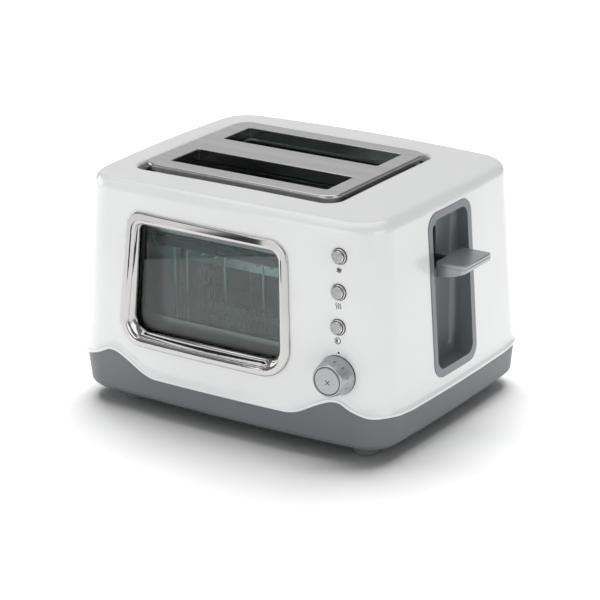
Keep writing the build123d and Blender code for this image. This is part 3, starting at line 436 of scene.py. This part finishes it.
# ---- Control panel ----------------------------------------------------------------------
# The panel leans back and turns a little outwards; the dial's axis gives its direction.
DIAL_JOINT = next(j for j in frame["joints"] if j["name"] == "dial_turn")
PANEL_OUT = Vector(DIAL_JOINT["axis"]).normalized()
PANEL_UP = (Vector((0, 0, 1)) - PANEL_OUT * PANEL_OUT.z).normalized()
PANEL_RIGHT = PANEL_UP.cross(PANEL_OUT)
DIAL_PLACE = Vector(DIAL_JOINT["pos_m"])      # where its axis meets the panel
CONE_LOW, CONE_HIGH = (15.0, 1.0), (12.4, 14.4)     # the dial's radius and height over the panel
FACE_DEPTH = 0.00005        # points this close to a control's front belong to its face
FILM = 0.04 * MM            # the thickness of a print or a ring of painted shade


def front_of(name):
    """The middle of a control's outer face."""
    places = [Vector(v.co) for v in nodes[name].data.vertices]
    reach = max(p.dot(PANEL_OUT) for p in places)
    face = [p for p in places if p.dot(PANEL_OUT) > reach - FACE_DEPTH]
    across = [p.dot(PANEL_RIGHT) for p in face]
    up = [p.dot(PANEL_UP) for p in face]
    middle = PANEL_RIGHT * (min(across) + max(across)) / 2 + PANEL_UP * (min(up) + max(up)) / 2
    return middle + PANEL_OUT * reach


def glyph(text, size):
    """A character's flat mesh, centred, as points and faces in its own plane."""
    curve = bpy.data.curves.new(text, "FONT")
    curve.body, curve.size = text, size
    curve.align_x, curve.align_y = "CENTER", "CENTER"
    holder = bpy.data.objects.new(text, curve)
    scene.collection.objects.link(holder)
    mesh = bpy.data.meshes.new_from_object(holder)
    bpy.data.objects.remove(holder)
    return [tuple(v.co) for v in mesh.vertices], [tuple(f.vertices) for f in mesh.polygons]


def disc(radius, sides=20):
    """A round dot's flat points and face."""
    points = [(radius * math.cos(turn), radius * math.sin(turn), 0) for turn in angles(sides)]
    return points, [tuple(range(sides))]


def on_cone(turn, x, y, lift):
    """A point on the dial's cone. The turn is clockwise from the top, x is a distance round the
    cone, y is the height over the panel, and lift is the distance off the surface."""
    share = (CONE_HIGH[1] - y) / (CONE_HIGH[1] - CONE_LOW[1])
    radius = CONE_HIGH[0] + (CONE_LOW[0] - CONE_HIGH[0]) * share
    angle = turn + x / radius
    across = PANEL_RIGHT * math.sin(angle) + PANEL_UP * math.cos(angle)
    return DIAL_PLACE + (across * (radius + lift) + PANEL_OUT * y) * MM


FIRST_MARK, MARK_STEP = 112, 17     # degrees: the number 1, clockwise from the top, and the spacing
NUMBER_SIZE, MARK_DOT = 3.6, 0.38
MARKS_OUT = 8.8                     # the marks' height over the panel
MARKS_LIFT = 0.09                   # how far they stand off the cone


def add_dial_marks():
    """The numbers 1 to 7 round the dial's cone, with a dot between each two."""
    marks = []
    for step in range(13):
        turn = math.radians(FIRST_MARK - MARK_STEP * step)
        shape = disc(MARK_DOT) if step % 2 else glyph(str(step // 2 + 1), NUMBER_SIZE)
        marks.append(placed(shape, lambda x, y: on_cone(turn, x, MARKS_OUT - y, MARKS_LIFT)))
    piece("dial_markings", *join(marks), "black_plastic", "dial", INK_AND_SHADE, FILM)


add_dial_marks()


def stroke(line, width):
    """A flat strip along a line of points in a plane."""
    points = []
    for i, (x, y) in enumerate(line):
        ax, ay = line[max(i - 1, 0)]
        bx, by = line[min(i + 1, len(line) - 1)]
        run = math.hypot(bx - ax, by - ay)
        nx, ny = (ay - by) / run * width / 2, (bx - ax) / run * width / 2
        points += [(x + nx, y + ny, 0), (x - nx, y - ny, 0)]
    return points, ring_faces(len(line), 2, closed=False)


def arc(radius, start, end, steps=24):
    """Points round an arc, in degrees."""
    turns = [math.radians(start + (end - start) * i / steps) for i in range(steps + 1)]
    return [(radius * math.cos(t), radius * math.sin(t)) for t in turns]


ICON_STROKE = 0.55
FLAKE_ARM = 2.4
FLAKE_BARB, BARB_STROKE = ((1.5, 0.8), (0.9, 0), (1.5, -0.8)), 0.38
WAVE_SPACING, WAVE_HEIGHT, WAVE_REACH, WAVE_STROKE = 1.7, 4.2, 0.45, 0.6
BUN_RADIUS, HALF_RADIUS = 2.3, 1.5         # the ring and the filled half
CROSS_ARM, CROSS_STROKE = 1.7, 0.5


def flake_icon():
    """A snow flake: three crossing lines with a barb at each end."""
    shapes = []
    for i in range(3):
        c, s = math.cos(math.radians(60 * i + 30)), math.sin(math.radians(60 * i + 30))
        shapes.append(stroke([(side * FLAKE_ARM * c, side * FLAKE_ARM * s) for side in (-1, 1)], ICON_STROKE))
        for side in (1, -1):
            barb = [(side * (x * c - y * s), side * (x * s + y * c)) for x, y in FLAKE_BARB]
            shapes.append(stroke(barb, BARB_STROKE))
    return shapes


def waves_icon():
    """Three upright waves of rising heat."""
    shapes = []
    for x in (-WAVE_SPACING, 0, WAVE_SPACING):
        shares = [i / 10 for i in range(11)]
        line = [(x + WAVE_REACH * math.sin(2 * math.pi * t), WAVE_HEIGHT * (t - 0.5)) for t in shares]
        shapes.append(stroke(line, WAVE_STROKE))
    return shapes


def half_icon():
    """A ring with one half filled: a bun toasted on its cut side."""
    half = [(x, y, 0) for x, y in arc(HALF_RADIUS, 90, 270)]
    return [stroke(arc(BUN_RADIUS, 0, 360, 40), ICON_STROKE), (half, [tuple(range(len(half)))])]


def cross_icon():
    """Two crossed lines."""
    arm = CROSS_ARM
    return [stroke([(-arm, side * -arm), (arm, side * arm)], CROSS_STROKE) for side in (1, -1)]


PRINT_LIFT = 0.05           # how far a print stands off what it is printed on
PRINT_FILM = 0.03 * MM
BEFORE_SHELL = -150         # a place in front of the housing, for rays to start from


def add_print(name, shapes, x, z):
    """Ink shapes printed on the shell's front, centred under a control."""
    shell = surface_of("housing_shell")

    def on_front(across, up):
        start = at(x + across, BEFORE_SHELL, z + up)
        return shell.ray_cast(start, Vector((0, 1, 0)))[0] + PANEL_OUT * PRINT_LIFT * MM

    shapes = [placed(shape, on_front) for shape in shapes]
    piece(name, *join(shapes), "black_plastic", "root", INK_AND_SHADE, PRINT_FILM)


PANEL_X = 102.5             # the column of buttons, from the housing's middle
add_print("defrost_icon", flake_icon(), PANEL_X, 148.4)
add_print("reheat_icon", waves_icon(), PANEL_X, 121.4)
add_print("bagel_icon", half_icon(), PANEL_X, 94.9)
add_print("dial_pointer_dot", [disc(0.85)], 103.4, 85.9)


def add_cancel_icon():
    """A cross on the cancel button's cap."""
    cap = front_of("cancel_button")

    def on_cap(x, y):
        return cap + (PANEL_RIGHT * x + PANEL_UP * y + PANEL_OUT * PRINT_LIFT) * MM

    shapes = [placed(shape, on_cap) for shape in cross_icon()]
    piece("cancel_icon", *join(shapes), "black_plastic", "cancel", INK_AND_SHADE, FILM)


add_cancel_icon()


ROUND_SIDES = 48


def shade_ring(name, inner, outer, origin, body="root"):
    """A thin dark ring facing out of the panel: painted shade in a gap round a control, or round its foot."""
    points = []
    for angle in angles(ROUND_SIDES):
        way = PANEL_RIGHT * math.cos(angle) + PANEL_UP * math.sin(angle)
        points += [origin + way * inner * MM, origin + way * outer * MM]
    piece(name, points, ring_faces(ROUND_SIDES, 2), "black_plastic", body, INK_AND_SHADE, FILM)


def spun_metal():
    """A face turned on a lathe: its grain runs in circles, which spreads highlights into a fan."""
    material = new_material("spun_face", (0.42, 0.42, 0.425), 0.3, metallic=1.0, Anisotropic=0.85)
    tangent = node(material, "ShaderNodeTangent", direction_type="RADIAL", axis="Z")
    link(material, tangent, "Tangent", material.node_tree.nodes["Principled BSDF"], "Tangent")
    grain = noise(material, 900)
    vary_colour(material, grain, (0.34, 0.34, 0.345), (0.46, 0.46, 0.465))
    vary_roughness(material, grain, 0.24, 0.38)
    return material


# A button's face, as radius and height over the cap's front: dished a little, with a soft edge.
BUTTON_FACE = (
    (AXIS_RADIUS, 0.05), (2.2, 0.07), (4.0, 0.05), (4.2, -0.02), (4.2, -0.3), (AXIS_RADIUS, -0.3),
)
# Rings of painted shade: in the gap round a button's cap, round the foot of its ring, in the cancel button's gap
# and round the dial's foot.
CAP_GAP, RING_SHADE = (4.85, 5.3), (5.95, 6.4)       # inner and outer radii
CAP_OVER_RING, CAP_OVER_PANEL = 1.33, 3.1
CANCEL_GAP, DIAL_SHADE = (10.3, 10.85), (14.0, 15.3)
CANCEL_GAP_LIFT, DIAL_SHADE_LIFT = 0.03, 0.15


def add_button_face(name, front, material):
    """A button's spun face. It is made round its own Z axis, which the metal's grain follows."""
    points = []
    for angle in angles(ROUND_SIDES):
        c, s = math.cos(angle), math.sin(angle)
        points += [(radius * MM * c, radius * MM * s, height * MM) for radius, height in BUTTON_FACE]
    faces = ring_faces(ROUND_SIDES, len(BUTTON_FACE))
    face = piece(name + "_face", points, faces, "chrome_buttons", None, material)
    weld(face.data)
    turn = Matrix((PANEL_RIGHT, PANEL_UP, PANEL_OUT)).transposed().to_4x4()
    face.matrix_world = Matrix.Translation(front) @ turn
    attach(face, name)


def add_button_details():
    """Each button has a spun face, painted shade in the gap round its cap and painted shade round the foot of its
    ring. The cancel button's gap and the dial's foot get painted shade too.
    """
    spun = spun_metal()
    for name in ("defrost", "reheat", "bagel"):
        front = front_of(name + "_button")
        add_button_face(name, front, spun)
        shade_ring(name + "_gap", *CAP_GAP, front - PANEL_OUT * CAP_OVER_RING * MM)
        shade_ring(name + "_ring_shade", *RING_SHADE, front - PANEL_OUT * CAP_OVER_PANEL * MM)
    dial_face = front_of("browning_dial") + PANEL_OUT * CANCEL_GAP_LIFT * MM
    shade_ring("cancel_gap", *CANCEL_GAP, dial_face, "dial")
    shade_ring("dial_ring_shade", *DIAL_SHADE, DIAL_PLACE + PANEL_OUT * DIAL_SHADE_LIFT * MM)


add_button_details()


# ---- Heating coils and springs ----------------------------------------------------------

COIL_WIRE, COIL_RADIUS, COIL_PITCH = 0.3, 1.35, 2.2     # the wire's radius comes first
COIL_STEPS = 10             # points to a turn


def islands(name):
    """Boxes round the separate solids of a CAD node, as lowest and highest corners."""
    mesh = bmesh.new()
    mesh.from_mesh(nodes[name].data)
    bmesh.ops.remove_doubles(mesh, verts=mesh.verts, dist=SAME_POINT)
    left, boxes = set(mesh.verts), []
    while left:
        stack, group = [left.pop()], []
        while stack:
            vert = stack.pop()
            group.append(vert.co.copy())
            for edge in vert.link_edges:
                other = edge.other_vert(vert)
                if other in left:
                    left.remove(other)
                    stack.append(other)
        boxes.append([Vector(f(c[i] for c in group) for i in range(3)) for f in (min, max)])
    mesh.free()
    return boxes


def add_heating_coils():
    """Each filament is a close coil of resistance wire, as seen through its quartz tube."""
    curve = bpy.data.curves.new("heating_coils", "CURVE")
    curve.dimensions = "3D"
    curve.bevel_depth, curve.bevel_resolution = COIL_WIRE * MM, 1
    for low, high in islands("heater_filaments"):
        centre, length = (low + high) / 2, high.x - low.x
        steps = int(length / MM / COIL_PITCH) * COIL_STEPS
        spline = curve.splines.new("POLY")
        spline.points.add(steps)
        for i, point in enumerate(spline.points):
            angle = 2 * math.pi * i / COIL_STEPS
            y = centre.y + COIL_RADIUS * MM * math.cos(angle)
            z = centre.z + COIL_RADIUS * MM * math.sin(angle)
            point.co = (low.x + length * i / steps, y, z, 1)
    curve.materials.append(MATERIALS["heating_wire"])
    coils = bpy.data.objects.new("heating_coils", curve)
    scene.collection.objects.link(coils)
    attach(coils, "root")
    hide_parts("heater_filaments")


add_heating_coils()


SPRING_WIRE = 0.55          # the wire's radius
SPRING_TURNS, SPRING_STEPS, WIRE_SIDES = 13, 20, 6
END_CLOSENESS = 0.12        # how much closer the end turns are wound


def spring(centre, radius, low, high):
    """A coil spring's wire, from one height to the other."""
    steps = SPRING_TURNS * SPRING_STEPS
    points = []
    for i in range(steps + 1):
        angle, share = 2 * math.pi * i / SPRING_STEPS, i / steps
        eased = share * share * (3 - 2 * share)
        z = low + (high - low) * (eased * END_CLOSENESS + share * (1 - END_CLOSENESS))
        out = Vector((math.cos(angle), math.sin(angle), 0))
        place = Vector((centre.x, centre.y, z)) + out * radius
        for around in angles(WIRE_SIDES):
            skin = out * math.cos(around) + Vector((0, 0, 1)) * math.sin(around)
            points.append(place + skin * SPRING_WIRE * MM)
    return points, ring_faces(steps + 1, WIRE_SIDES, closed=False, loop=True)


def add_carriage_springs():
    """The two lifting springs, wound where the CAD's springs stand. In the toaster the foot of each goes with the
    carriage and its head stays put; these coils stay put whole.
    """
    boxes = islands("carriage_springs")
    low, high = min(b[0].z for b in boxes), max(b[1].z for b in boxes)
    shapes = []
    for side in (-1, 1):
        group = [b for b in boxes if ((b[0] + b[1]) / 2 - MIDDLE).y * side > 0]
        least = Vector(min(b[0][i] for b in group) for i in range(3))
        most = Vector(max(b[1][i] for b in group) for i in range(3))
        centre, radius = (least + most) / 2, (most.x - least.x) / 2 - SPRING_WIRE * MM
        shapes.append(spring(centre, radius, low + SPRING_WIRE * MM, high - SPRING_WIRE * MM))
    springs = piece("lifting_springs", *join(shapes), "spring_steel", body=None)
    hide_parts("carriage_springs")
    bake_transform(springs)


add_carriage_springs()


# ---- Inside the housing -----------------------------------------------------------------

BUSH_Y, BUSH_Z = -9.8, 81   # in front of the housing's middle, and over the floor
BUSH = ((8, -0.3), (8, 1.7), (7.2, 2.6), (5.6, 2.6), (4.4, 1.9), (4.1, 0.9), (4.1, -0.3), (8, -0.3))


def add_wall_bush():
    """The ceramic bush on the left chamber wall, seen through the window."""
    place = at(0, BUSH_Y, BUSH_Z)
    origin = Vector((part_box("left_end_plate")[1].x, place.y, place.z))
    piece("wall_bush", *turned(BUSH, origin, (1, 0, 0), sides=40), "ceramic")


add_wall_bush()


# Turned outlines of two board parts, as radius and distance along the axis.
CAPACITOR = (
    (AXIS_RADIUS, 0), (2.6, 0), (2.6, 1.0), (2.4, 1.3), (2.6, 1.6), (2.6, 6.0), (2.2, 6.4),
    (AXIS_RADIUS, 6.4),
)
RESISTOR = (
    (AXIS_RADIUS, -3.4), (0.9, -3.2), (1.1, -2.4), (0.9, -1.8), (0.9, 1.8), (1.1, 2.4), (0.9, 3.2),
    (AXIS_RADIUS, 3.4),
)
HALF_BOARD = 0.8            # half the control board's thickness


def add_turned(name, profile, places, axis, slot):
    """The same turned part at several places, as one welded piece."""
    weld(piece(name, *join(turned(profile, place, axis) for place in places), slot).data)


def add_board_parts():
    """Resistors and capacitors on the back of the control board."""
    low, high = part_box("control_board")
    back = (low + high) / 2 - PANEL_OUT * HALF_BOARD * MM

    def on_board(across, up, out=0):
        return back + (PANEL_RIGHT * across + PANEL_UP * up - PANEL_OUT * out) * MM

    cans = [on_board(-9, 44), on_board(-2, 44), on_board(8, -20)]
    add_turned("board_capacitors", CAPACITOR, cans, -PANEL_OUT, "black_plastic")
    bodies = [on_board(-5 + 0.5 * i, 30 - 4.5 * i, 1.2) for i in range(6)]
    add_turned("board_resistors", RESISTOR, bodies, PANEL_RIGHT, "ceramic")


add_board_parts()


# ---- Studio -----------------------------------------------------------------------------

WORLD_STRENGTH = 0.26
BODY_CENTRE = (0, 0, 0.08)  # what the lights point at


def add_floor():
    """A wide sheet of plain pale paper."""
    mesh = bpy.data.meshes.new("floor")
    made = bmesh.new()
    bmesh.ops.create_grid(made, x_segments=1, y_segments=1, size=30)
    made.to_mesh(mesh)
    made.free()
    floor = bpy.data.objects.new("floor", mesh)
    scene.collection.objects.link(floor)
    mesh.materials.append(plastic("white_paper", (0.95, 0.95, 0.95), 0.9, 300, 0.00002))
    return floor


def add_light(name, place, size, power, receivers):
    """A softbox, with its size in metres and its power in watts. It lights only what the
    collection in receivers lets it."""
    data = bpy.data.lights.new(name, "AREA")
    data.shape = "RECTANGLE"
    data.size, data.size_y = size
    data.energy = power
    lamp = bpy.data.objects.new(name, data)
    scene.collection.objects.link(lamp)
    lamp.location = place
    direction = Vector(BODY_CENTRE) - Vector(place)
    lamp.rotation_euler = direction.to_track_quat("-Z", "Y").to_euler()
    lamp.light_linking.receiver_collection = receivers


def add_dark_card(name, place, aim, size):
    """A black card that only mirrors see. It gives the chrome its dark patches."""
    mesh = bpy.data.meshes.new(name)
    x, y = size[0] / 2, size[1] / 2
    mesh.from_pydata([(-x, -y, 0), (x, -y, 0), (x, y, 0), (-x, y, 0)], [], [(0, 1, 2, 3)])
    mesh.materials.append(plastic("black_card", (0.012, 0.014, 0.02), 0.9, 300, 0.00002))
    card = bpy.data.objects.new(name, mesh)
    scene.collection.objects.link(card)
    card.location = place
    card.rotation_euler = (Vector(aim) - Vector(place)).to_track_quat("Z", "Y").to_euler()
    card.visible_camera = card.visible_diffuse = card.visible_shadow = card.visible_transmission = False


def light_group(name, floor, state):
    """A collection that lets a light reach only the floor, or everything but the floor."""
    group = bpy.data.collections.new(name)
    group.objects.link(floor)
    group.collection_objects[0].light_linking.link_state = state
    return group


def add_world():
    """Even white light from all round."""
    world = bpy.data.worlds.new("studio")
    scene.world = world
    world.use_nodes = True
    background = world.node_tree.nodes["Background"]
    background.inputs["Color"].default_value = (1, 1, 1, 1)
    background.inputs["Strength"].default_value = WORLD_STRENGTH


def add_studio():
    """Soft boxes all round, and one over the floor that leaves the object's shadow on it. The
    others leave the floor alone."""
    floor = add_floor()
    add_world()
    object_only = light_group("object_only", floor, "EXCLUDE")
    floor_only = light_group("floor_only", floor, "INCLUDE")
    add_light("top", (-0.1, 0.15, 1.9), (2.3, 2.0), 20, object_only)
    add_light("floor", (-0.3, 0.55, 1.8), (1.9, 1.7), 62, floor_only)
    add_light("front", (-0.2, -2.2, 0.5), (2.0, 1.0), 9.4, object_only)
    add_light("right", (2.2, -0.3, 0.5), (1.4, 1.0), 7.3, object_only)
    add_light("card", (-1.0, -1.0, 1.5), (1.1, 0.8), 2.6, object_only)
    add_light("left", (-2.2, -0.2, 0.5), (1.4, 1.0), 8, object_only)
    add_light("back", (-1.1, 2.1, 1.0), (3.2, 1.7), 7.2, object_only)
    add_dark_card("card_high", (-0.75, -0.62, 1.05), (-0.02, -0.1, 0.08), (0.3, 0.34))
    add_dark_card("card_low", (-0.24, -0.40, 0.035), (-0.02, -0.1, 0.12), (0.16, 0.05))
    scene.view_settings.view_transform = "Standard"


add_studio()
